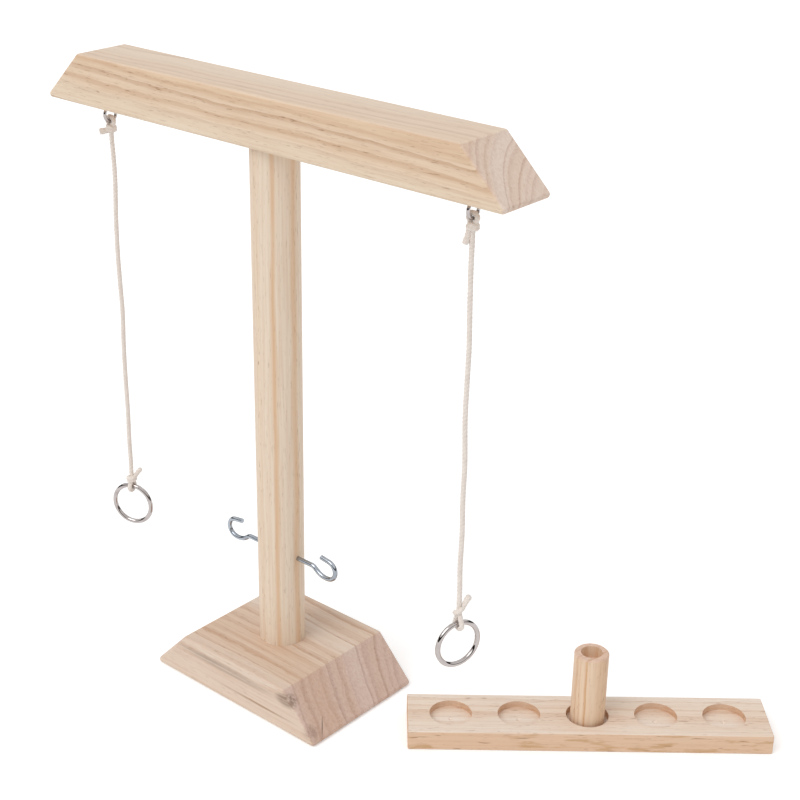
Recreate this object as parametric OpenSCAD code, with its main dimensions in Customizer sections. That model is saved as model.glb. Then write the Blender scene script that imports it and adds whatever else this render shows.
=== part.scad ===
// Ring toss set: a wooden stand with a ring hung on a cord at each end of its
// crossbar, a hook for each ring on its post, and a score ladder with a marker peg.
// Millimetres. +X runs along the crossbar and +Z is up. The origin is the centre
// of the base's underside, and "left" is the -X side.

/* [Crossbar] */
// Length along the underside, between the sharp corners
bar_l = 411; // [360:1:490]
// Width, front to back
bar_w = 46; // [36:1:60]
// Height
bar_h = 35.5; // [26:0.5:44]
// How far each mitred end slopes in at the top
bar_mitre = 36.6; // [12:0.1:50]

/* [Post] */
// Diameter of the dowel
post_d = 33.4; // [27:0.1:42]
// Length of the dowel, from the base to the crossbar
post_l = 372.5; // [310:0.5:460]

/* [Base] */
// Length along the underside, between the sharp corners
base_l = 167; // [130:1:200]
// Width, front to back
base_w = 105; // [80:1:130]
// Height
base_h = 34.5; // [24:0.5:44]
// How far each mitred end slopes in at the top
base_mitre = 32.9; // [12:0.1:40]
// Radius of the softened edges of the two blocks
edge_r = 2.5; // [1:0.25:4]

/* [Hidden fastening] */
// Outer diameter of the hanger bolts' threads
bolt_d = 6; // [5:0.5:8]
// Length of a hanger bolt's wood thread, inside the post
bolt_wood_l = 25; // [18:1:40]
// Length of a hanger bolt's machine thread, inside its insert nut
bolt_nut_l = 12; // [8:1:16]
// Outer diameter of the insert nuts
nut_d = 9.6; // [8.6:0.2:13]
// Length of the insert nuts
nut_l = 14; // [10:1:18]

/* [Screw eyes] */
// Distance of each eye from the post's axis
eye_x = 163; // [120:1:168]
// Diameter of the eye's wire
eye_wire = 2.4; // [2:0.1:3]
// Diameter of the eye's loop, along the middle of its wire
eye_d = 10; // [8.6:0.2:14]
// Depth of the loop's centre below the crossbar
eye_drop = 10; // [9:0.5:20]
// Length of the thread inside the crossbar
eye_bite = 14; // [8:1:20]

/* [Screw hooks] */
// Diameter of the hooks' wire
hook_wire = 3.4; // [2.6:0.1:4]
// Height of the hooks' shanks above the floor
hook_z = 105; // [80:0.5:200]
// Length of the straight shank outside the post
hook_shank = 13.7; // [6:0.1:24]
// Radius of the hook's bowl, along the middle of its wire
hook_bowl_r = 7; // [6:0.5:12]
// Length of the straight tip
hook_tip = 7.5; // [2:0.5:10]
// Length of the thread inside the post
hook_bite = 12; // [8:0.5:13]

/* [Cords] */
// Diameter of the cord
cord_d = 3.5; // [2.4:0.1:3.7]
// Drop from the left eye's lower wire to the left ring's upper wire
left_drop = 291; // [200:0.5:300]
// Drop from the right eye's lower wire to the right ring's upper wire
right_drop = 279; // [200:0.5:300]
// Height of the knots at the eyes and of the left ring's knot
knot_h = 8.5; // [6:0.5:12]
// Height of the right ring's knot, which is drawn out longer
long_knot_h = 14; // [8:0.5:18]

/* [Rings] */
// Outer diameter of the rings
ring_d = 35; // [28:0.5:45]
// Diameter of the rings' wire
ring_wire = 3.5; // [2.5:0.1:5]
// Way the left ring's hole faces, turned from +X
left_ring_turn = -70; // [-180:1:180]
// Way the right ring's hole faces, turned from +X
right_ring_turn = -18; // [-180:1:180]

/* [Ladder] */
// Length of the board
ladder_l = 253; // [250:1:320]
// Width of the board
ladder_w = 46; // [36:1:60]
// Thickness of the board
ladder_t = 15; // [12:0.5:30]
// Number of wells
wells = 5; // [3:2:5]
// Distance from one well to the next
well_pitch = 48; // [38:0.5:52]
// Diameter of the wells
well_d = 30; // [26:0.5:34]
// Depth of the wells
well_depth = 5; // [3:0.5:8]
// Place of the board's centre along X
ladder_x = 210; // [210:1:320]
// Place of the board's centre along Y
ladder_y = 91; // [86:1:200]
// Turn of the board from the crossbar's direction
ladder_turn = 41; // [35:1:60]

/* [Marker] */
// Diameter of the marker peg
marker_d = 24; // [16:0.5:25.5]
// Length of the marker peg
marker_l = 57; // [30:1:60]
// Diameter of the hole in the marker's top
marker_bore_d = 15; // [8:0.5:18]
// Depth of that hole
marker_bore_depth = 9; // [4:0.5:25]

/* [Clearances] */
// Radial clearance of screws and insert nuts in their holes
screw_gap = 0.05; // [0.02:0.01:0.1]
// Clearance between a cord and what it hangs on, or what hangs from it
cord_gap = 0.3; // [0.2:0.05:0.5]

/* [Hidden] */
$fn = 64;
hull_fn = 32;

bar_z = base_h + post_l;

// A hole ends this far past the screw inside it
hole_end = 0.5;

// Threads are drawn as rings of this many sizes
bolt_core = bolt_d - 1.2;
bolt_wood_pitch = 2.5;
bolt_nut_pitch = 1.5;
nut_core = nut_d - 1.2;
nut_pitch = 2;
nut_bore = bolt_d + 2 * screw_gap;
eye_pitch = 1;
hook_pitch = 1.5;
thread_share = 0.75;

// The eye's lower wire, from which a cord hangs
hang_z = bar_z - eye_drop - eye_d / 2;

// A loop of cord round a wire, measured to the middle of the cord
eye_loop_r = eye_wire / 2 + cord_gap + cord_d / 2;
ring_loop_r = ring_wire / 2 + cord_gap + cord_d / 2;

// A knot is wraps of cord around a core
wrap_r = 0.85 * cord_d;
knot_r = wrap_r + cord_d / 2;
knot_bite = 0.25;

// Heights below the eye's lower wire
upper_knot_top = eye_loop_r - knot_bite;
upper_knot_end = upper_knot_top + knot_h;
cord_top = upper_knot_end + cord_gap + cord_d / 2;
function lower_knot_top(drop, height) = drop - ring_loop_r + knot_bite - height;
function cord_end(drop, height) = lower_knot_top(drop, height) - cord_gap;
ring_r = (ring_d - ring_wire) / 2;

// The hook's bends, as [radius, turn] for an arc and [length, 0] for a straight
hook_neck_turn = 36;
hook_rise_turn = 16;
hook_curl_turn = 172;
hook_bends = [
    [hook_shank, 0],
    [5, -hook_neck_turn],
    [3, 0],
    [2 * hook_bowl_r, hook_neck_turn + hook_rise_turn],
    [hook_bowl_r, hook_curl_turn - hook_rise_turn],
    [hook_tip, 0],
];

// A ball this much fatter than the wire joins each bend to the next
joint_swell = 0.04;

// The dimple left in each well by the point of the bit
dimple_d = 4;
dimple_depth = 1;
well_z = ladder_t - well_depth;
middle_well = (wells - 1) / 2;
softened = 1;

// The cords' routes below their top pivots: sideways, forwards and down as a
// share of the cord's own length, since a hanging cord keeps only small waves
left_route = [
    [0, 0, 0], [0.6, 0.2, 0.06], [0.6, 0.3, 0.12], [-0.6, 0.1, 0.22], [-0.5, -0.3, 0.32],
    [0.2, -0.2, 0.42], [0.5, 0.2, 0.5], [-0.6, 0.3, 0.6], [-0.3, 0, 0.7], [0.5, -0.3, 0.8],
    [-0.2, 0, 0.9], [0.1, 0, 0.96], [0, 0, 1],
];
right_route = [
    [0, 0, 0], [-0.4, 0.2, 0.08], [-0.2, 0.3, 0.18], [0.5, 0, 0.28], [0.1, -0.3, 0.38],
    [-0.4, -0.2, 0.48], [0.3, 0.2, 0.6], [-0.3, 0.3, 0.7], [0.3, 0, 0.8],
    [-0.2, -0.2, 0.9], [0, 0, 0.96], [0, 0, 1],
];
cord_sides = 8;
cord_rings = 34;
cap_rings = 3;

pine = [0.89, 0.79, 0.67];
pine_warm = [0.9, 0.76, 0.58];
pine_pale = [0.92, 0.84, 0.73];
nickel = [0.8, 0.79, 0.78];
zinc = [0.68, 0.71, 0.75];
brass = [0.8, 0.65, 0.35];
cotton = [0.92, 0.88, 0.82];

// ---- shared shapes ----

// A block whose ends slope in towards the top, with softened edges
module mitred_block(length, width, height, mitre) {
    corner = atan(height / mitre) / 2;
    low_x = length / 2 - edge_r / tan(corner);
    high_x = length / 2 - mitre - edge_r * tan(corner);
    y = width / 2 - edge_r;
    hull()
        for (sx = [-1, 1], sy = [-1, 1]) {
            translate([sx * low_x, sy * y, edge_r]) sphere(edge_r, $fn = hull_fn);
            translate([sx * high_x, sy * y, height - edge_r]) sphere(edge_r, $fn = hull_fn);
        }
}

// A hole that opens at z = 0 and runs up
module blind_hole(d, depth) {
    translate([0, 0, -1]) cylinder(h = depth + 1, d = d);
}

// A threaded rod from z = 0 up, its thread drawn as rings
module thread(d, core, pitch, length) {
    turns = floor(length / pitch);
    step = length / turns;
    rotate_extrude()
        polygon([
            [0, 0], [core / 2, 0],
            for (i = [0:turns - 1]) each [
                [d / 2, (i + 0.4) * step], [d / 2, (i + 0.6) * step], [core / 2, (i + 1) * step],
            ],
            [0, length],
        ]);
}

module torus(r, wire) {
    rotate_extrude() translate([r, 0]) circle(d = wire);
}

// A bent wire that starts at the origin along +X and turns up or down in XZ
module bent_wire(bends, wire, i = 0) {
    if (i < len(bends)) {
        size = bends[i][0];
        turn = bends[i][1];
        if (i > 0) sphere(d = wire + joint_swell);
        if (turn == 0) {
            rotate([0, 90, 0]) cylinder(h = size, d = wire);
            translate([size, 0, 0]) bent_wire(bends, wire, i + 1);
        } else {
            side = sign(turn);
            mirror([0, 0, side < 0 ? 1 : 0])
                translate([0, 0, size]) rotate([90, 90, 0])
                    rotate_extrude(angle = abs(turn)) translate([size, 0]) circle(d = wire);
            translate([size * sin(abs(turn)), 0, side * size * (1 - cos(turn))])
                rotate([0, -turn, 0]) bent_wire(bends, wire, i + 1);
        }
    }
}

// ---- stand ----

module base_block() {
    color(pine)
        difference() {
            mitred_block(base_l, base_w, base_h, base_mitre);
            translate([0, 0, base_h]) mirror([0, 0, 1])
                blind_hole(nut_d + 2 * screw_gap, nut_l + hole_end);
        }
}

module post() {
    color(pine_warm)
        translate([0, 0, base_h])
            difference() {
                cylinder(h = post_l, d = post_d);
                blind_hole(bolt_d + 2 * screw_gap, bolt_wood_l + hole_end);
                translate([0, 0, post_l]) mirror([0, 0, 1])
                    blind_hole(bolt_d + 2 * screw_gap, bolt_wood_l + hole_end);
                for (side = [-1, 1])
                    translate([side * post_d / 2, 0, hook_z - base_h]) rotate([0, -side * 90, 0])
                        blind_hole(hook_wire + 2 * screw_gap, hook_bite + hole_end);
            }
}

module crossbar() {
    color(pine)
        translate([0, 0, bar_z])
            difference() {
                mitred_block(bar_l, bar_w, bar_h, bar_mitre);
                blind_hole(nut_d + 2 * screw_gap, nut_l + hole_end);
                for (side = [-1, 1])
                    translate([side * eye_x, 0, 0])
                        blind_hole(eye_wire + 2 * screw_gap, eye_bite + hole_end);
            }
}

// A hanger bolt whose wood thread runs up from z = 0 and machine thread down
module hanger_bolt() {
    color(zinc) {
        thread(bolt_d, bolt_core, bolt_wood_pitch, bolt_wood_l);
        mirror([0, 0, 1]) thread(bolt_d, bolt_core, bolt_nut_pitch, bolt_nut_l);
    }
}

// An insert nut from z = 0 up
module insert_nut() {
    color(brass)
        difference() {
            thread(nut_d, nut_core, nut_pitch, nut_l);
            translate([0, 0, -1]) cylinder(h = nut_l + 2, d = nut_bore);
        }
}

module lower_hanger_bolt() { translate([0, 0, base_h]) hanger_bolt(); }
module upper_hanger_bolt() { translate([0, 0, bar_z]) mirror([0, 0, 1]) hanger_bolt(); }
module base_insert_nut() { translate([0, 0, base_h]) mirror([0, 0, 1]) insert_nut(); }
module crossbar_insert_nut() { translate([0, 0, bar_z]) insert_nut(); }

// A screw eye, its loop square to the crossbar's length
module screw_eye(side) {
    neck = eye_drop - eye_d / 2;
    color(nickel)
        translate([side * eye_x, 0, bar_z]) {
            translate([0, 0, -eye_drop]) rotate([0, 90, 0]) torus(eye_d / 2, eye_wire);
            translate([0, 0, -neck]) cylinder(h = neck, d = eye_wire);
            thread(eye_wire, thread_share * eye_wire, eye_pitch, eye_bite);
        }
}

module left_screw_eye() { screw_eye(-1); }
module right_screw_eye() { screw_eye(1); }

// A screw hook on the post's side, its bowl opening up and towards the post
module screw_hook() {
    color(zinc)
        translate([post_d / 2, 0, hook_z]) {
            bent_wire(hook_bends, hook_wire);
            rotate([0, -90, 0])
                thread(hook_wire, thread_share * hook_wire, hook_pitch, hook_bite);
        }
}

module left_screw_hook() { mirror([1, 0, 0]) screw_hook(); }
module right_screw_hook() { screw_hook(); }

// ---- cords, knots and rings ----

// A knot from z = 0 down, away from its loop: wraps round a core, a short tail,
// and the cord leaving at the far end
module knot(height, tail_turn, tail_rise, tail_l) {
    wraps = ceil((height - cord_d) / (0.8 * cord_d)) + 1;
    step = (height - cord_d) / (wraps - 1);
    rotate_extrude() {
        for (i = [0:wraps - 1])
            translate([wrap_r, -cord_d / 2 - i * step]) circle(d = cord_d);
        translate([0, cord_d / 2 - height]) square([wrap_r, height - 0.75 * cord_d]);
        translate([0, -height]) square([cord_d / 2, cord_d]);
    }
    translate([0, 0, -height / 2]) rotate([0, 90 - tail_rise, tail_turn])
        cylinder(h = knot_r + tail_l, d = cord_d);
}

// The loop through the eye and the knot under it
module upper_knot(side, tail_turn, tail_rise, tail_l) {
    color(cotton)
        translate([side * eye_x, 0, hang_z]) {
            rotate([90, 0, 0]) torus(eye_loop_r, cord_d);
            translate([0, 0, -upper_knot_top]) knot(knot_h, tail_turn, tail_rise, tail_l);
        }
}

// The loop round the ring's upper wire and the knot over it
module lower_knot(side, drop, height, ring_turn, tail_turn, tail_rise, tail_l) {
    color(cotton)
        translate([side * eye_x, 0, hang_z]) {
            translate([0, 0, -drop]) rotate([90, 0, ring_turn]) torus(ring_loop_r, cord_d);
            translate([0, 0, -lower_knot_top(drop, height) - height]) mirror([0, 0, 1])
                knot(height, tail_turn, -tail_rise, tail_l);
        }
}

module left_upper_knot() { upper_knot(-1, 222, -15, 6); }
module right_upper_knot() { upper_knot(1, 222, -55, 8); }
module left_lower_knot() { lower_knot(-1, left_drop, knot_h, left_ring_turn, 42, 45, 7); }
module right_lower_knot() { lower_knot(1, right_drop, long_knot_h, right_ring_turn, 42, 60, 10); }

// A smooth curve through the points of a route
function bend_through(a, b, c, d, t) =
    0.5 * (2 * b + (c - a) * t + (2 * a - 5 * b + 4 * c - d) * t * t
        + (3 * b - a - 3 * c + d) * t * t * t);
function route_at(route, s) =
    let (last = len(route) - 1, i = min(floor(s * last), last - 1), t = s * last - i)
    bend_through(route[max(i - 1, 0)], route[i], route[i + 1], route[min(i + 2, last)], t);

// One ring of the cord's skin
function cord_ring(centre, r) =
    [for (k = [0:cord_sides - 1])
        let (a = 360 * k / cord_sides) centre + [r * cos(a), r * sin(a), 0]];

// The free stretch of a cord, with a round top end on its pivot
module cord(side, route, drop, height) {
    length = cord_end(drop, height) - cord_top;
    r = cord_d / 2;
    cap = [for (i = [0:cap_rings - 1])
        let (a = 90 - (i + 0.3) * 90 / cap_rings) cord_ring([0, 0, r * sin(a)], r * cos(a))];
    stretch = [for (i = [0:cord_rings])
        let (p = route_at(route, i / cord_rings)) cord_ring([p.x, p.y, -p.z * length], r)];
    rings = concat(cap, stretch);
    last = len(rings) - 1;
    skin = [for (j = [0:last - 1], k = [0:cord_sides - 1])
        let (n = (k + 1) % cord_sides, a = j * cord_sides, b = a + cord_sides)
        [a + k, a + n, b + n, b + k]];
    ends = [
        [for (k = [cord_sides - 1:-1:0]) k],
        [for (k = [0:cord_sides - 1]) last * cord_sides + k],
    ];
    color(cotton)
        translate([side * eye_x, 0, hang_z - cord_top])
            polyhedron([for (ring = rings) each ring], concat(skin, ends));
}

module left_cord() { cord(-1, left_route, left_drop, knot_h); }
module right_cord() { cord(1, right_route, right_drop, long_knot_h); }

module game_ring(side, drop, turn) {
    color(nickel)
        translate([side * eye_x, 0, hang_z - drop - ring_r])
            rotate([0, 90, turn]) torus(ring_r, ring_wire);
}

module left_ring() { game_ring(-1, left_drop, left_ring_turn); }
module right_ring() { game_ring(1, right_drop, right_ring_turn); }

// ---- ladder and marker ----

module on_ladder() {
    translate([ladder_x, ladder_y, 0]) rotate([0, 0, ladder_turn]) children();
}

module ladder_board() {
    color(pine_pale)
        on_ladder()
            difference() {
                hull()
                    for (sx = [-1, 1], sy = [-1, 1], z = [softened, ladder_t - softened])
                        translate([sx * (ladder_l / 2 - softened), sy * (ladder_w / 2 - softened), z])
                            sphere(softened, $fn = hull_fn / 2);
                for (i = [0:wells - 1])
                    translate([(i - middle_well) * well_pitch, 0, well_z]) {
                        cylinder(h = well_depth + 1, d = well_d);
                        translate([0, 0, -dimple_depth])
                            cylinder(h = dimple_depth, d1 = 0.5, d2 = dimple_d);
                    }
            }
}

module marker() {
    color(pine_warm)
        on_ladder()
            translate([0, 0, well_z])
                difference() {
                    rotate_extrude()
                        polygon([
                            [0, 0], [marker_d / 2 - softened, 0], [marker_d / 2, softened],
                            [marker_d / 2, marker_l - softened], [marker_d / 2 - softened, marker_l],
                            [0, marker_l],
                        ]);
                    translate([0, 0, marker_l - marker_bore_depth])
                        cylinder(h = marker_bore_depth + 1, d = marker_bore_d);
                }
}

base_block();
post();
crossbar();
lower_hanger_bolt();
upper_hanger_bolt();
base_insert_nut();
crossbar_insert_nut();
left_screw_eye();
right_screw_eye();
left_screw_hook();
right_screw_hook();
left_upper_knot();
left_cord();
left_lower_knot();
left_ring();
right_upper_knot();
right_cord();
right_lower_knot();
right_ring();
ladder_board();
marker();
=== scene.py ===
# %% [markdown]
# # Ring toss set
# A wooden stand with a ring on a cord at each end of its crossbar, two hooks on its post,
# and a score ladder with a marker peg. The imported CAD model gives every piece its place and
# size. This file gives them their wood, metal and cotton, and ties the cords and knots.

# %% Load the frame
import math
import random

import bmesh
import bpy
from mathutils import Matrix, Vector


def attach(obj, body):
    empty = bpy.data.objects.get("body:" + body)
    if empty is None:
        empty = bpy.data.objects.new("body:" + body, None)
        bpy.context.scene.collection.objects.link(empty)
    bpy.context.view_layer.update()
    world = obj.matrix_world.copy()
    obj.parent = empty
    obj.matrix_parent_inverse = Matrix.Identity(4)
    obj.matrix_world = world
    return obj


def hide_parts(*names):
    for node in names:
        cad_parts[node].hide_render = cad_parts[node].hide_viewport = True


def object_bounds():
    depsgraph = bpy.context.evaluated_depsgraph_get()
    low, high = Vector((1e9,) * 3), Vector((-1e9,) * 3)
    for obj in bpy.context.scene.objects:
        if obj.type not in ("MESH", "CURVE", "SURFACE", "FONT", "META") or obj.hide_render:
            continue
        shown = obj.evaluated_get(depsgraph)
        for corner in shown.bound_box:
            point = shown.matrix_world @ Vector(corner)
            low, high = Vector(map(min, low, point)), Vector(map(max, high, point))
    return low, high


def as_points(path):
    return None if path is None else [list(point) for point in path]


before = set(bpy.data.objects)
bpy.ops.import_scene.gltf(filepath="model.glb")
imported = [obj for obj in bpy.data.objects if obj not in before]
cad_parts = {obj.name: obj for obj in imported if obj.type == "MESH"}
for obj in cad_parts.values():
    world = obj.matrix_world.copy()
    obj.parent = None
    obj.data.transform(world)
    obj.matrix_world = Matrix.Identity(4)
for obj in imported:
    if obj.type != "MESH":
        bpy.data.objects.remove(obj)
cad_low, cad_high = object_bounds()
MM = 0.001
print("CAD box in mm:", [round(s / MM) for s in cad_high - cad_low])

# %% [markdown]
# ## Camera
# The set is seen from its front right and a little above, with a long lens that keeps the
# post nearly upright. The camera turns from looking along +Y, first up or down and then
# round, so three plain angles place it.

# %% Camera
CAMERA_PLACE = Vector((0.7224, -0.7306, 0.6911))
CAMERA_ROUND = 42.06
CAMERA_ABOVE = 24.515
CAMERA_ROLL = 0.15
CAMERA_LENS = 73.37
CAMERA_SHIFT = (0.0668, 0.0025)

camera_data = bpy.data.cameras.new("camera")
camera_data.lens = CAMERA_LENS
camera_data.shift_x, camera_data.shift_y = CAMERA_SHIFT
camera = bpy.data.objects.new("camera", camera_data)
bpy.context.scene.collection.objects.link(camera)
camera.matrix_world = (
    Matrix.Translation(CAMERA_PLACE)
    @ Matrix.Rotation(math.radians(CAMERA_ROUND), 4, "Z")
    @ Matrix.Rotation(math.radians(90 - CAMERA_ABOVE), 4, "X")
    @ Matrix.Rotation(math.radians(CAMERA_ROLL), 4, "Z")
)
bpy.context.scene.camera = camera
print("camera stands", round(camera.location.length, 2), "m from the base")

# %% [markdown]
# ## Cord routes
# Each ring hangs on one length of limp cotton cord, tied to its eye and to its ring. The free
# stretch between the two knots hangs straight down, with the small waves that new cord keeps.
# The route's points are the CAD model's own, turned into metres, and a smooth curve runs
# through them.

# %% Where each cord hangs
EYE_X = 163 * MM
HANG_Z = 392 * MM
CORD_D = 3.5 * MM
CORD_GAP = 0.3 * MM
EYE_WIRE = 2.4 * MM
RING_WIRE = 3.5 * MM
EYE_LOOP_R = EYE_WIRE / 2 + CORD_GAP + CORD_D / 2
RING_LOOP_R = RING_WIRE / 2 + CORD_GAP + CORD_D / 2
KNOT_BITE = 0.25 * MM
UPPER_KNOT_TOP = EYE_LOOP_R - KNOT_BITE
UPPER_KNOT_H = 8.5 * MM
CORD_TOP = UPPER_KNOT_TOP + UPPER_KNOT_H + CORD_GAP + CORD_D / 2

# Sideways and forwards in millimetres, and down as a share of the stretch
LEFT_ROUTE = [
    (0, 0, 0), (0.6, 0.2, 0.06), (0.6, 0.3, 0.12), (-0.6, 0.1, 0.22), (-0.5, -0.3, 0.32),
    (0.2, -0.2, 0.42), (0.5, 0.2, 0.5), (-0.6, 0.3, 0.6), (-0.3, 0, 0.7), (0.5, -0.3, 0.8),
    (-0.2, 0, 0.9), (0.1, 0, 0.96), (0, 0, 1),
]
RIGHT_ROUTE = [
    (0, 0, 0), (-0.4, 0.2, 0.08), (-0.2, 0.3, 0.18), (0.5, 0, 0.28), (0.1, -0.3, 0.38),
    (-0.4, -0.2, 0.48), (0.3, 0.2, 0.6), (-0.3, 0.3, 0.7), (0.3, 0, 0.8),
    (-0.2, -0.2, 0.9), (0, 0, 0.96), (0, 0, 1),
]
SIDES = {
    "left": dict(x=-EYE_X, drop=291 * MM, knot_h=8.5 * MM, route=LEFT_ROUTE, faces=-70),
    "right": dict(x=EYE_X, drop=279 * MM, knot_h=14 * MM, route=RIGHT_ROUTE, faces=-18),
}
for side in SIDES.values():
    side["knot_top"] = side["drop"] - RING_LOOP_R + KNOT_BITE - side["knot_h"]
    side["stretch"] = side["knot_top"] - CORD_GAP - CORD_TOP
print("free stretches in mm:", [round(s["stretch"] / MM, 1) for s in SIDES.values()])


# %% A smooth curve through points
def curve_through(points, step):
    """Points every `step` along a smooth curve through the given ones."""
    points = [Vector(p) for p in points]
    fine = []
    for i in range(len(points) - 1):
        a, b = points[max(i - 1, 0)], points[i]
        c, d = points[i + 1], points[min(i + 2, len(points) - 1)]
        pieces = max(2, math.ceil((c - b).length / step))
        for k in range(pieces):
            t = k / pieces
            fine.append(
                0.5 * (2 * b + (c - a) * t + (2 * a - 5 * b + 4 * c - d) * t**2
                       + (3 * b - a - 3 * c + d) * t**3)
            )
    return fine + [points[-1]]


def path_length(points):
    return sum((b - a).length for a, b in zip(points, points[1:]))


# %% [markdown]
# ## Cotton cord
# The cord is laid: three strands twisted round each other. A round tube would look like wire,
# so the skin follows the outline of three strands side by side, pressed flat where they
# touch, and the outline turns as it runs along the cord. Frames carried along the path keep the skin from twisting by itself.

# %% Laid cord
STRAND_R = CORD_D / 2 / 2.155
STRAND_OUT = STRAND_R * 1.155
LAY_LENGTH = 8.5 * MM
CORD_STEP = 0.45 * MM
CORD_POINTS_ROUND = 30
FLATTENED = 0.7


def strand_outline(angle):
    """Distance from the cord's centre to its skin, where three strands lie side by side."""
    off = (angle + math.pi / 3) % (2 * math.pi / 3) - math.pi / 3
    reach = max(STRAND_R**2 - (STRAND_OUT * math.sin(off)) ** 2, 0)
    laid = STRAND_OUT * math.cos(off) + math.sqrt(reach)
    return CORD_D / 2 * FLATTENED + laid * (1 - FLATTENED)


def frames_along(points):
    """(point, side, up) along a path, carried without twisting."""
    side = None
    for i, p in enumerate(points):
        ahead = (points[min(i + 1, len(points) - 1)] - points[max(i - 1, 0)]).normalized()
        if side is None:
            side = ahead.orthogonal()
        side = (side - ahead * side.dot(ahead)).normalized()
        yield p, side, ahead.cross(side)


def lay_cord(mesh, points, swell=lambda share: 1.0, start=0.0):
    """Adds a laid cord along `points`; `swell` scales it along its length."""
    rings, run, last = [], start, points[0]
    total = path_length(points)
    for p, side, up in frames_along(points):
        run += (p - last).length
        last = p
        turn = run / LAY_LENGTH * 2 * math.pi
        scale = swell((run - start) / total)
        ring = []
        for k in range(CORD_POINTS_ROUND):
            angle = 2 * math.pi * k / CORD_POINTS_ROUND
            r = strand_outline(angle - turn) * scale
            ring.append(mesh.verts.new(p + side * math.cos(angle) * r + up * math.sin(angle) * r))
        rings.append(ring)
    for a, b in zip(rings, rings[1:]):
        for k in range(CORD_POINTS_ROUND):
            n = (k + 1) % CORD_POINTS_ROUND
            mesh.faces.new((a[k], a[n], b[n], b[k]))
    mesh.faces.new(rings[0][::-1])
    mesh.faces.new(rings[-1])


def make_piece(name, mesh, material, body, stands_for):
    """Turns a bmesh into a smooth piece that rides on a body and replaces a CAD node."""
    bmesh.ops.recalc_face_normals(mesh, faces=mesh.faces[:])
    data = bpy.data.meshes.new(name)
    mesh.to_mesh(data)
    mesh.free()
    for polygon in data.polygons:
        polygon.use_smooth = True
    piece = bpy.data.objects.new(name, data)
    piece.data.materials.append(material)
    bpy.context.scene.collection.objects.link(piece)
    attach(piece, body)
    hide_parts(stands_for)
    return piece


# %% [markdown]
# ## Node helpers
# Every finish is built from shader nodes. Two short helpers keep that readable: one adds a
# node with its settings and inputs, and one starts a node group with named sockets.

# %% Node helpers
def add_node(tree, kind, inputs=None, **settings):
    """Adds a shader node. An input may be a value or another node's output socket."""
    node = tree.nodes.new("ShaderNode" + kind)
    for key, value in settings.items():
        setattr(node, key, value)
    for key, value in (inputs or {}).items():
        if isinstance(value, bpy.types.NodeSocket):
            tree.links.new(value, node.inputs[key])
        else:
            node.inputs[key].default_value = value
    return node


def do_math(tree, operation, *values):
    """One Math node's output."""
    return add_node(tree, "Math", dict(enumerate(values)), operation=operation).outputs[0]


def fade(tree, value, low, high, to_low=0.0, to_high=1.0):
    """Eases from to_low at low to to_high at high."""
    inputs = {"Value": value, "From Min": low, "From Max": high,
              "To Min": to_low, "To Max": to_high}
    return add_node(tree, "MapRange", inputs, interpolation_type="SMOOTHSTEP").outputs[0]


def noise(tree, place, scale, detail=2.0, roughness=0.5, dimensions="3D"):
    """A Noise node, its place or W given as a socket."""
    key = "W" if dimensions == "1D" else "Vector"
    inputs = {key: place, "Scale": scale, "Detail": detail, "Roughness": roughness}
    return add_node(tree, "TexNoise", inputs, noise_dimensions=dimensions)


def mix_colour(tree, share, a, b, blend_type="MIX"):
    inputs = {0: share, 6: a, 7: b}
    node = add_node(tree, "Mix", inputs, data_type="RGBA", blend_type=blend_type)
    return node.outputs[2]


def start_group(name, inputs, outputs):
    """A new node group: its tree, its input sockets by name, and its output node."""
    tree = bpy.data.node_groups.new(name, "ShaderNodeTree")
    for label, (kind, default) in inputs.items():
        socket = tree.interface.new_socket(label, in_out="INPUT", socket_type="NodeSocket" + kind)
        if default is not None:
            socket.default_value = default
    for label, kind in outputs.items():
        tree.interface.new_socket(label, in_out="OUTPUT", socket_type="NodeSocket" + kind)
    return tree, tree.nodes.new("NodeGroupInput").outputs, tree.nodes.new("NodeGroupOutput")


def use_group(tree, group, inputs):
    """Places a group in a material and sets its inputs."""
    node = tree.nodes.new("ShaderNodeGroup")
    node.node_tree = group
    for key, value in inputs.items():
        if isinstance(value, bpy.types.NodeSocket):
            tree.links.new(value, node.inputs[key])
        else:
            node.inputs[key].default_value = value
    return node.outputs


def srgb(red, green, blue):
    """A screen colour of 0 to 255 as the linear colour that nodes use."""
    def linear(value):
        value /= 255
        return value / 12.92 if value <= 0.04045 else ((value + 0.055) / 1.055) ** 2.4
    return (linear(red), linear(green), linear(blue), 1.0)


def new_material(name):
    """An empty material: its tree and its Principled shader, wired to the output."""
    material = bpy.data.materials.new(name)
    material.use_nodes = True
    tree = material.node_tree
    shader = next(n for n in tree.nodes if n.type == "BSDF_PRINCIPLED")
    return material, tree, shader


# %% [markdown]
# ## Pine, as one solid
# A board is cut from a tree, so its growth rings run through it: long lines on its faces and
# arcs on its ends. The figure is worked out in three dimensions from the distance to the
# tree's heart, the pith, which lies outside the board. Slow noise along the grain bends the
# rings, so the lines wander and meet at the mitred ends as real ones do. X is along the grain.

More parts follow.
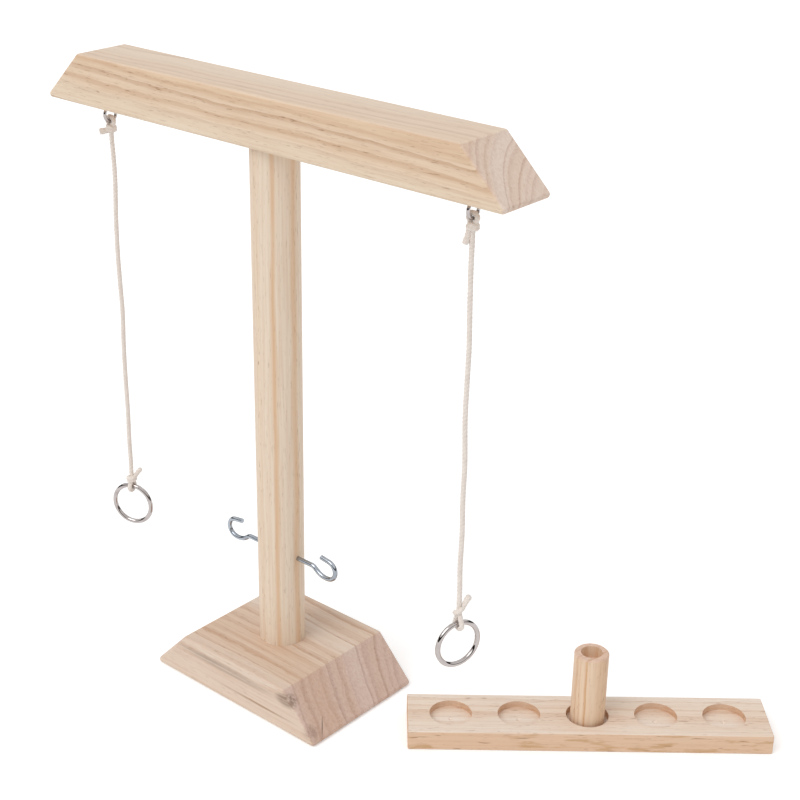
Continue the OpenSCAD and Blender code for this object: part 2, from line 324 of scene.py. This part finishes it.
# %% Pine figure group
def build_pine_figure():
    tree, given, out = start_group(
        "pine_figure",
        {"Place": ("Vector", None), "Pith Y": ("Float", 0.05), "Pith Z": ("Float", -0.05),
         "Ring Width": ("Float", 0.003), "Wander": ("Float", 0.004), "Run Out": ("Float", 0.0),
         "Seed": ("Float", 0.0)},
        {"Late": "Float", "Tone": "Float", "Fibre": "Float", "Fleck": "Float", "Pore": "Float"},
    )
    seeded = add_node(tree, "VectorMath", {0: given["Place"], 1: (0, 0, 0)}, operation="ADD")
    offset = add_node(tree, "CombineXYZ", {0: given["Seed"], 1: given["Seed"], 2: given["Seed"]})
    tree.links.new(offset.outputs[0], seeded.inputs[1])
    place = seeded.outputs[0]

    def stretched(along, across):
        scaled = {0: place, 1: (along, across, across)}
        return add_node(tree, "VectorMath", scaled, operation="MULTIPLY").outputs[0]

    bend = noise(tree, stretched(8, 16), 1.0, detail=2.5, roughness=0.42)
    ripple = noise(tree, stretched(60, 170), 1.0, detail=2.0).outputs[0]
    bend_parts = add_node(tree, "SeparateColor", {0: bend.outputs["Color"]}).outputs
    parts = add_node(tree, "SeparateXYZ", {0: given["Place"]}).outputs
    run = do_math(tree, "MULTIPLY", parts[0], given["Run Out"])

    def from_pith(part, bend_part, pith):
        centred = do_math(tree, "SUBTRACT", bend_part, 0.5)
        bent = do_math(tree, "MULTIPLY_ADD", centred, given["Wander"], part)
        return do_math(tree, "SUBTRACT", bent, pith)

    y = from_pith(parts[1], bend_parts[0], given["Pith Y"])
    z = do_math(tree, "ADD", from_pith(parts[2], bend_parts[1], given["Pith Z"]), run)
    square = do_math(tree, "MULTIPLY_ADD", z, z, do_math(tree, "MULTIPLY", y, y))
    ring = do_math(tree, "DIVIDE", do_math(tree, "SQRT", square), given["Ring Width"])
    uneven = noise(tree, ring, 0.55, detail=1.0, dimensions="1D").outputs[0]
    ring = do_math(tree, "MULTIPLY_ADD", uneven, 1.6, ring)
    ring = do_math(tree, "MULTIPLY_ADD", ripple, 0.34, ring)
    share = do_math(tree, "FRACT", ring)
    year = do_math(tree, "FLOOR", ring)
    strength = noise(tree, year, 3.7, detail=0.0, dimensions="1D").outputs[0]
    rise = fade(tree, share, 0.42, 0.9)
    fall = fade(tree, share, 0.92, 1.0, 1.0, 0.0)
    late = do_math(tree, "MULTIPLY", do_math(tree, "MULTIPLY", rise, fall),
                   fade(tree, strength, 0.3, 0.7, 0.35, 1.0))

    tone = noise(tree, ring, 0.23, detail=1.5, dimensions="1D").outputs[0]
    fibre = noise(tree, stretched(14, 620), 1.0, detail=3.0, roughness=0.6).outputs[0]
    fleck_noise = noise(tree, stretched(130, 1500), 1.0, detail=1.0).outputs[0]
    fleck = do_math(tree, "MULTIPLY", fade(tree, fleck_noise, 0.63, 0.72),
                    fade(tree, late, 0.0, 0.6, 0.35, 1.0))
    pore = noise(tree, place, 1300.0, detail=2.0, roughness=0.7).outputs[0]
    for label, socket in (("Late", late), ("Tone", tone), ("Fibre", fibre),
                          ("Fleck", fleck), ("Pore", pore)):
        tree.links.new(socket, out.inputs[label])
    return tree


pine_figure = build_pine_figure()
print("pine figure:", len(pine_figure.nodes), "nodes")

# %% [markdown]
# ## Cotton
# Undyed cotton is an off-white that goes greyer in the grooves between strands. Its short
# fibres scatter light, so it is fully rough, with a little sheen. Fine noise stands for the
# fibres, and a slower one for the uneven colour of raw cotton.

# %% Cotton material
def build_cotton():
    material, tree, shader = new_material("raw_cotton")
    place = add_node(tree, "TexCoord").outputs["Object"]
    fibres = noise(tree, place, 2600.0, detail=3.0, roughness=0.65).outputs[0]
    slow = noise(tree, place, 160.0, detail=2.0).outputs[0]
    bare = mix_colour(tree, fade(tree, slow, 0.35, 0.65), srgb(238, 229, 221), srgb(247, 240, 233))
    colour = mix_colour(tree, fade(tree, fibres, 0.36, 0.66), srgb(226, 213, 203), bare)
    tree.links.new(colour, shader.inputs["Base Color"])
    bump = add_node(tree, "Bump", {"Height": fibres, "Strength": 0.45, "Distance": 0.0003})
    tree.links.new(bump.outputs[0], shader.inputs["Normal"])
    shader.inputs["Roughness"].default_value = 0.95
    shader.inputs["Specular IOR Level"].default_value = 0.25
    shader.inputs["Sheen Weight"].default_value = 0.25
    shader.inputs["Sheen Roughness"].default_value = 0.6
    return material


cotton = build_cotton()
print("cotton made")

# %% [markdown]
# ## The four knots
# The cord's end goes through the eye or the ring, comes back, winds round the standing part
# and is cut off short. Each knot here is that one path: up the middle, round the wire, down,
# round the standing part in a helix, and out as the tail. It is worked out in the knot's own
# frame, in which `away` points from the wire to the cord.

# %% Tie a knot
WRAP_R = 0.72 * CORD_D
KNOT_R = 1.35 * CORD_D


def knot_path(centre, away, plane, loop_r, wound, turns_to, wraps, rise, tail):
    """The cord's path through a knot. `wound` gives where the wraps start and end, and where
    the standing part leaves, all measured from the wire."""
    near, far, leaves = wound
    across = Vector((math.cos(plane), math.sin(plane), 0))

    def at(angle, radius, distance):
        return centre + Vector((math.cos(angle), math.sin(angle), 0)) * radius + away * distance

    points = [at(0, 0, leaves), at(0, 0, far), at(0, 0, (near + far) / 2)]
    points.append(centre + across * loop_r * 0.3 + away * near)
    for degrees in (0, 30, 62, 90, 118, 150, 180):
        angle = math.radians(degrees)
        points.append(centre + across * math.cos(angle) * loop_r - away * math.sin(angle) * loop_r)
    first = plane + math.pi
    last = turns_to - math.radians(70)
    sweep = (last - first) % (2 * math.pi) + 2 * math.pi * wraps
    steps = max(6, round(sweep / math.radians(40)))
    for k in range(steps + 1):
        share = k / steps
        hug = WRAP_R * (1 - 0.35 * max(0, 1 - 4 * share))
        points.append(at(first + sweep * share, hug, near + (far - near) * share))
    out = math.cos(rise)
    up = -away * math.sin(rise) if away.z < 0 else away * math.sin(rise)
    start = at(turns_to - math.radians(18), WRAP_R + 1.1 * MM, far)
    reach = KNOT_R + tail
    for k in range(1, 5):
        share = k / 4
        spot = at(turns_to, reach * out * share, far) + up * reach * share
        points.append(start.lerp(spot, 0.35 + 0.65 * share))
    return curve_through(points, CORD_STEP)


def tie_knot(name, body, path, fray=0.0):
    """A laid cord along the knot's path, its cut end spread by `fray`."""
    mesh = bmesh.new()

    def swell(share):
        end = max(0.0, (share - 0.86) / 0.14)
        tip = max(0.0, (share - 0.975) / 0.025)
        return 1.0 + fray * end - 0.3 * tip**2

    lay_cord(mesh, path, swell)
    return make_piece(name, mesh, cotton, body, body)


# %% Upper knots, at the eyes
UPPER_TAILS = {"left": (222, -6, 3.6 * MM, 0.5), "right": (222, -66, 5.5 * MM, 0.3)}
EYE_WOUND = (3.4 * MM, 6.8 * MM, UPPER_KNOT_TOP + UPPER_KNOT_H)
for name, (turn, rise, tail, fray) in UPPER_TAILS.items():
    path = knot_path(
        Vector((SIDES[name]["x"], 0, HANG_Z)), Vector((0, 0, -1)), 0.0, EYE_LOOP_R,
        EYE_WOUND, math.radians(turn), 1, math.radians(rise), tail,
    )
    body = name + "_upper_knot"
    tie_knot(name + "_eye_knot", body, path, fray)
    print(body, "takes", round(path_length(path) / MM), "mm of cord")

# %% Lower knots, at the rings
LOWER_TAILS = {
    "left": (42, 45, 6 * MM, 0.1, (4.2 * MM, 7.2 * MM), 1),
    "right": (42, 56, 7 * MM, 0.3, (6.6 * MM, 11.0 * MM), 0),
}
for name, (turn, rise, tail, fray, wound, wraps) in LOWER_TAILS.items():
    side = SIDES[name]
    leaves = side["drop"] - side["knot_top"]
    path = knot_path(
        Vector((side["x"], 0, HANG_Z - side["drop"])), Vector((0, 0, 1)),
        math.radians(side["faces"]), RING_LOOP_R, (*wound, leaves),
        math.radians(turn), wraps, math.radians(rise), tail,
    )
    body = name + "_lower_knot"
    tie_knot(name + "_ring_knot", body, path, fray)
    print(body, "takes", round(path_length(path) / MM), "mm of cord")

# %% [markdown]
# ## The two cords
# Each free stretch runs a little way into both of its knots, so no gap shows between them when it
# swings.

# %% Free stretches
TUCK = 3.0 * MM
for name, side in SIDES.items():
    top = HANG_Z - CORD_TOP
    points = [Vector((x * MM, y * MM, top - z * side["stretch"])) for x, y, z in side["route"]]
    points = [Vector((side["x"] + p.x, p.y, p.z)) for p in points]
    points.insert(0, points[0] + Vector((0, 0, TUCK)))
    points.append(points[-1] - Vector((0, 0, TUCK)))
    path = curve_through(points, CORD_STEP)
    mesh = bmesh.new()
    lay_cord(mesh, path)
    piece = make_piece(name + "_hanging_cord", mesh, cotton, name + "_cord", name + "_cord")
    path_length(path)
    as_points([tuple(p) for p in path[::4]]
        + [tuple(path[-1])])
    print(name, "cord is", round(path_length(path) / MM, 1), "mm long")

# %% [markdown]
# ## Cutting each board from the log
# The figure's X axis is turned to each board's own grain: along the crossbar, up the post,
# and along the ladder, which stands at an angle. The same turn on the surface's normal tells
# the sawn ends from the long faces, because end grain drinks more finish and looks pinker.

# %% Grain direction
def along_grain(tree, corner=(0, 0, 0), turn=(0, 0, 0)):
    """The place in a board's own frame, and a mask of its end grain."""
    coordinates = add_node(tree, "TexCoord").outputs
    turn = tuple(math.radians(t) for t in turn)
    inputs = {"Vector": coordinates["Object"], "Location": corner, "Rotation": turn}
    place = add_node(tree, "Mapping", inputs, vector_type="TEXTURE").outputs[0]
    inputs = {"Vector": coordinates["Normal"], "Rotation": turn}
    normal = add_node(tree, "Mapping", inputs, vector_type="TEXTURE").outputs[0]
    along = add_node(tree, "SeparateXYZ", {0: normal}).outputs[0]
    return place, fade(tree, do_math(tree, "ABSOLUTE", along), 0.4, 0.62)


def patch(tree, place, middle, size, soft=0.35, turn=(0, 0, 0)):
    """1 inside a rounded patch at `middle`, fading to 0 at its rim."""
    turn = tuple(math.radians(t) for t in turn)
    inputs = {"Vector": place, "Location": middle, "Scale": size, "Rotation": turn}
    local = add_node(tree, "Mapping", inputs, vector_type="TEXTURE").outputs[0]
    reach = add_node(tree, "VectorMath", {0: local}, operation="LENGTH").outputs["Value"]
    return fade(tree, reach, 1.0 - soft, 1.0, 1.0, 0.0)


# %% [markdown]
# ## Pine finish
# Planed pine with a clear satin finish: pale early wood, tan late wood, short dark flecks
# along the rings and pinker ends. One function colours every board from the shared figure,
# so each board can have its own ring width, pith and colours.

# %% Pine material
def build_pine(name, early, late, end_early, end_late, grain, figure, extra_layer=None,
               line=0.75, tone_depth=0.5):
    material, tree, shader = new_material(name)
    place, end = along_grain(tree, **grain)
    wood = use_group(tree, pine_figure, {"Place": place, **figure})
    lines = do_math(tree, "MULTIPLY", wood["Late"], line)
    face = mix_colour(tree, lines, srgb(*early), srgb(*late))
    end_lines = do_math(tree, "MULTIPLY", wood["Late"], 0.65)
    cut = mix_colour(tree, end_lines, srgb(*end_early), srgb(*end_late))
    colour = mix_colour(tree, end, face, cut)
    shade = fade(tree, wood["Tone"], 0.3, 0.7, 0.0, tone_depth)
    colour = mix_colour(tree, shade, colour, srgb(236, 208, 178), "MULTIPLY")
    streak = fade(tree, wood["Fibre"], 0.35, 0.7, 0.0, 0.3)
    colour = mix_colour(tree, streak, colour, srgb(222, 196, 172), "MULTIPLY")
    fleck = do_math(tree, "MULTIPLY", wood["Fleck"], 0.75)
    colour = mix_colour(tree, fleck, colour, srgb(160, 122, 92))
    # The extra layer holds the base's real marks, the crossbar's painted light on its top, and the
    # ladder's painted shade with its figure.
    if extra_layer:
        colour = extra_layer(tree, place, end, wood, colour)
    tree.links.new(colour, shader.inputs["Base Color"])

    gloss = fade(tree, wood["Late"], 0.0, 1.0, 0.52, 0.42)
    tree.links.new(fade(tree, end, 0.0, 1.0, gloss, 0.68), shader.inputs["Roughness"])
    height = do_math(tree, "MULTIPLY_ADD", wood["Late"], 0.25,
                     do_math(tree, "MULTIPLY", wood["Fibre"], 0.5))
    height = do_math(tree, "MULTIPLY_ADD", wood["Pore"], fade(tree, end, 0.0, 1.0, 0.15, 0.9),
                     height)
    bump = add_node(tree, "Bump", {"Height": height, "Strength": 0.3, "Distance": 0.0002})
    tree.links.new(bump.outputs[0], shader.inputs["Normal"])
    shader.inputs["Specular IOR Level"].default_value = 0.35
    return material


def finish_slot(names, material):
    """Gives CAD nodes their finish."""
    for name in names:
        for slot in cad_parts[name].material_slots:
            slot.material = material


# %% Crossbar
BAR_Z = 407 * MM


def painted_top_light(tree, place, end, wood, colour):
    """Paints the top paler than the front: painted light, standing in for the light that falls on it
    from above.
    """
    coordinates = add_node(tree, "TexCoord").outputs
    up = add_node(tree, "SeparateXYZ", {0: coordinates["Normal"]}).outputs[2]
    # Painted light: faces that look up are mixed towards a paler colour.
    return mix_colour(tree, fade(tree, up, 0.6, 0.95, 0.0, 0.42), colour, srgb(240, 223, 207))


pine_bar = build_pine(
    "pine_bar", (232, 213, 190), (196, 160, 128), (231, 213, 200), (201, 170, 152),
    dict(corner=(0, 0, BAR_Z)),
    {"Pith Y": 0.034, "Pith Z": -0.026, "Ring Width": 0.0045, "Wander": 0.0075,
     "Run Out": 0.02, "Seed": 0.31},
    painted_top_light,
)
finish_slot(["crossbar"], pine_bar)

# %% Post
def post_bands(tree, place, end, wood, colour):
    """Two late-wood bands come to the surface of the dowel and run its whole height."""
    sway = add_node(tree, "Mapping", {"Vector": place, "Scale": (11, 11, 11)}).outputs[0]
    sway = noise(tree, sway, 1.0, detail=1.0).outputs["Color"]
    sway = add_node(tree, "VectorMath", {0: sway, 1: (0.5, 0.5, 0.5)}, operation="SUBTRACT")
    inputs = {0: sway.outputs[0], 1: (0, 0.004, 0.004), 2: place}
    bent = add_node(tree, "VectorMath", inputs, operation="MULTIPLY_ADD").outputs[0]
    for y, z, width, depth in ((-0.0135, -0.0099, 0.0027, 0.5), (-0.001, -0.0167, 0.0042, 0.42)):
        band = patch(tree, bent, (0.22, y, z), (0.6, width, width), soft=0.85)
        colour = mix_colour(tree, do_math(tree, "MULTIPLY", band, depth), colour,
                            srgb(214, 162, 106))
    return colour


pine_post = build_pine(
    "pine_post", (234, 218, 199), (221, 190, 155), (224, 196, 172), (196, 158, 130),
    dict(turn=(0, -90, 0)),
    {"Pith Y": 0.06, "Pith Z": 0.055, "Ring Width": 0.012, "Wander": 0.0015, "Run Out": 0.0,
     "Seed": 1.2},
    post_bands, line=0.25, tone_depth=0.25,
)
finish_slot(["post"], pine_post)

# %% [markdown]
# ## The base's own marks
# The base is the plainest piece of timber in the set. A small knot shows at its front right
# corner, a fine drying crack runs up its right end, and grey-brown streaks cross its front.

# %% Base block
def base_marks(tree, place, end, wood, colour):
    rough = fade(tree, wood["Fibre"], 0.3, 0.62, 0.3, 1.0)

    def stain(middle, size, soft, depth, tint, colour):
        spot = patch(tree, place, middle, size, soft)
        return mix_colour(tree, do_math(tree, "MULTIPLY", do_math(tree, "MULTIPLY", spot, rough),
                                        depth), colour, srgb(*tint))

    colour = stain((0.054, -0.0525, 0.027), (0.013, 0.011, 0.0065), 0.6, 0.9, (146, 120, 104), colour)
    colour = stain((-0.008, -0.0525, 0.0262), (0.062, 0.01, 0.0045), 0.8, 0.8, (166, 146, 132),
                   colour)
    colour = stain((0.022, -0.0525, 0.0115), (0.06, 0.012, 0.0018), 0.8, 0.85, (164, 126, 94),
                   colour)
    colour = stain((0.075, -0.0485, 0.0085), (0.009, 0.0075, 0.008), 0.8, 0.6, (156, 128, 116),
                   colour)
    crack = patch(tree, place, (0.0755, -0.0385, 0.0082), (0.014, 0.0005, 0.0085), 0.6, (-46, 0, 0))
    return mix_colour(tree, do_math(tree, "MULTIPLY", crack, 0.8), colour, srgb(104, 84, 74))


pine_base = build_pine(
    "pine_base", (226, 208, 192), (197, 163, 136), (219, 196, 184), (190, 160, 148), {},
    {"Pith Y": 0.125, "Pith Z": -0.025, "Ring Width": 0.0085, "Wander": 0.012,
     "Run Out": 0.0, "Seed": 2.6},
    base_marks, line=0.75, tone_depth=0.5,
)
finish_slot(["base_block"], pine_base)

# %% Ladder and marker
LADDER_PLACE = (0.210, 0.091, 0)
LADDER_TURN = 41.0


def ladder_shade_and_figure(tree, place, end, wood, colour):
    """Paints the wells' walls darker and warmer than their floors, and the board's sides darker and
    warmer than its top: painted shade. Swirls and streaks of real figure follow on the sides.
    """
    coordinates = add_node(tree, "TexCoord").outputs
    up = add_node(tree, "SeparateXYZ", {0: coordinates["Normal"]}).outputs[2]
    wall = fade(tree, do_math(tree, "ABSOLUTE", up), 0.5, 0.8, 1.0, 0.0)
    parts = add_node(tree, "SeparateXYZ", {0: place}).outputs
    inside = fade(tree, do_math(tree, "ABSOLUTE", parts[1]), 0.0185, 0.0195, 1.0, 0.0)
    inside = do_math(tree, "MULTIPLY", inside, fade(tree, do_math(tree, "ABSOLUTE", parts[0]),
                                                    0.122, 0.124, 1.0, 0.0))
    cut = do_math(tree, "MULTIPLY", wall, inside)
    # Painted shade: the wells' walls are mixed towards a darker, warmer colour.
    colour = mix_colour(tree, do_math(tree, "MULTIPLY", cut, 0.55), colour, srgb(212, 172, 138))
    # Painted shade: the board's upright sides outside the wells are mixed towards a darker, warmer
    # colour than its top.
    side_shade_and_figure = do_math(tree, "SUBTRACT", wall, cut)
    colour = mix_colour(tree, do_math(tree, "MULTIPLY", side_shade_and_figure, 0.65), colour, srgb(221, 179, 141))
    swirl = add_node(tree, "Mapping", {"Vector": place, "Scale": (34, 60, 210)}).outputs[0]
    swirl = noise(tree, swirl, 1.0, detail=3.0, roughness=0.6).outputs[0]
    swirl = do_math(tree, "MULTIPLY", side_shade_and_figure, fade(tree, swirl, 0.52, 0.66, 0.0, 0.75))
    colour = mix_colour(tree, swirl, colour, srgb(198, 156, 112))
    streak = add_node(tree, "Mapping", {"Vector": place, "Scale": (60, 300, 620)}).outputs[0]
    streak = noise(tree, streak, 1.0, detail=2.0).outputs[0]
    streak = do_math(tree, "MULTIPLY", side_shade_and_figure, fade(tree, streak, 0.64, 0.72, 0.0, 0.7))
    return mix_colour(tree, streak, colour, srgb(150, 108, 76))


pine_ladder = build_pine(
    "pine_ladder", (240, 227, 214), (221, 193, 170), (232, 210, 192), (202, 168, 144),
    dict(corner=LADDER_PLACE, turn=(0, 0, LADDER_TURN)),
    {"Pith Y": -0.03, "Pith Z": -0.09, "Ring Width": 0.0034, "Wander": 0.003, "Run Out": 0.004,
     "Seed": 4.1},
    ladder_shade_and_figure, line=0.5, tone_depth=0.3,
)
pine_marker = build_pine(
    "pine_marker", (237, 215, 191), (214, 168, 122), (230, 204, 186), (204, 160, 130),
    dict(corner=LADDER_PLACE, turn=(0, -90, LADDER_TURN)),
    {"Pith Y": 0.035, "Pith Z": 0.03, "Ring Width": 0.0045, "Wander": 0.0018, "Run Out": 0.0,
     "Seed": 5.7},
    line=0.8, tone_depth=0.5,
)
finish_slot(["ladder_board"], pine_ladder)
finish_slot(["marker"], pine_marker)
print("five boards finished")

# %% [markdown]
# ## Handling marks
# Bright metal is never perfectly even: plating pools a little, and fingers leave faint smears
# that only show as a change of gloss. One group gives both to every metal.

# %% Handling marks group
def build_handling_marks():
    tree, given, out = start_group(
        "handling_marks", {"Place": ("Vector", None)}, {"Smear": "Float", "Dimple": "Float"}
    )
    smear = noise(tree, given["Place"], 140.0, detail=3.0, roughness=0.6).outputs[0]
    dimple = noise(tree, given["Place"], 900.0, detail=2.0).outputs[0]
    tree.links.new(fade(tree, smear, 0.4, 0.7), out.inputs["Smear"])
    tree.links.new(dimple, out.inputs["Dimple"])
    return tree


handling_marks = build_handling_marks()


def build_metal(name, clean, dull, smooth, worn, bump_strength):
    material, tree, shader = new_material(name)
    place = add_node(tree, "TexCoord").outputs["Object"]
    extra_layer = use_group(tree, handling_marks, {"Place": place})
    colour = mix_colour(tree, extra_layer["Smear"], srgb(*clean), srgb(*dull))
    tree.links.new(colour, shader.inputs["Base Color"])
    rough = fade(tree, extra_layer["Smear"], 0.0, 1.0, smooth, worn)
    tree.links.new(rough, shader.inputs["Roughness"])
    inputs = {"Height": extra_layer["Dimple"], "Strength": bump_strength, "Distance": 0.0001}
    tree.links.new(add_node(tree, "Bump", inputs).outputs[0], shader.inputs["Normal"])
    shader.inputs["Metallic"].default_value = 1.0
    return material


# %% Nickel, zinc and brass
nickel = build_metal("bright_nickel", (190, 183, 181), (176, 168, 166), 0.03, 0.07, 0.01)
zinc = build_metal("bright_zinc", (176, 182, 190), (156, 163, 172), 0.14, 0.26, 0.08)
brass = build_metal("insert_brass", (214, 186, 120), (190, 160, 98), 0.25, 0.4, 0.1)
finish_slot(["left_screw_eye", "right_screw_eye", "left_ring", "right_ring"], nickel)
finish_slot(["left_screw_hook", "right_screw_hook"], zinc)
finish_slot(["lower_hanger_bolt", "upper_hanger_bolt"], zinc)
finish_slot(["base_insert_nut", "crossbar_insert_nut"], brass)
print("metals finished")

# %% [markdown]
# ## Studio
# A white sweep, an even white sky and one wide soft lamp from the front left. The sky lights
# the set at a plain level. The camera and the metal see it as white, apart from one narrow
# dark flag low on the horizon, which draws the thin black lines that polished rings show.

# %% Floor
FLOOR_HALF = 6.0
mesh = bmesh.new()
bmesh.ops.create_grid(mesh, x_segments=2, y_segments=2, size=FLOOR_HALF)
floor_data = bpy.data.meshes.new("floor")
mesh.to_mesh(floor_data)
mesh.free()
floor = bpy.data.objects.new("floor", floor_data)
floor.location.z = cad_low.z - 0.0001
bpy.context.scene.collection.objects.link(floor)


def build_floor_material():
    material, tree, shader = new_material("white_sweep")
    shader.inputs["Base Color"].default_value = srgb(247, 247, 247)
    shader.inputs["Roughness"].default_value = 0.9
    shader.inputs["Specular IOR Level"].default_value = 0.0
    path = add_node(tree, "LightPath").outputs
    seen = do_math(tree, "MAXIMUM", path["Is Camera Ray"], path["Is Glossy Ray"])
    shader.inputs["Emission Color"].default_value = (1, 1, 1, 1)
    tree.links.new(do_math(tree, "MULTIPLY", seen, 0.26), shader.inputs["Emission Strength"])
    return material


floor.data.materials.append(build_floor_material())

# %% Sky
SKY_LEVEL = 0.72
FLAG_LOW, FLAG_HIGH = 0.04, 0.36

world = bpy.data.worlds.new("white_sky")
bpy.context.scene.world = world
world.use_nodes = True
tree = world.node_tree
sky = next(n for n in tree.nodes if n.type == "BACKGROUND")
path = add_node(tree, "LightPath").outputs
direction = add_node(tree, "TexCoord").outputs["Generated"]
height = add_node(tree, "SeparateXYZ", {0: direction}).outputs[2]
flag = do_math(tree, "MULTIPLY", fade(tree, height, FLAG_LOW - 0.02, FLAG_LOW),
               fade(tree, height, FLAG_HIGH, FLAG_HIGH + 0.02, 1.0, 0.0))
seen_by_metal = do_math(tree, "MULTIPLY_ADD", flag, -0.98, 1.0)
level = fade(tree, path["Is Glossy Ray"], 0.0, 1.0, SKY_LEVEL, seen_by_metal)
straight = do_math(tree, "MAXIMUM", path["Is Camera Ray"], path["Is Transmission Ray"])
level = fade(tree, straight, 0.0, 1.0, level, 1.0)
tree.links.new(level, sky.inputs["Strength"])
sky.inputs["Color"].default_value = (1, 1, 1, 1)

# %% Lamp
LAMP_FROM = Vector((-0.10, -0.66, 0.80))
lamp_data = bpy.data.lights.new("wide_lamp", "SUN")
lamp_data.energy = 0.98
lamp_data.angle = math.radians(38)
lamp = bpy.data.objects.new("wide_lamp", lamp_data)
lamp.rotation_euler = LAMP_FROM.to_track_quat("Z", "Y").to_euler()
bpy.context.scene.collection.objects.link(lamp)
bpy.context.scene.view_settings.view_transform = "Standard"
print("studio lit")
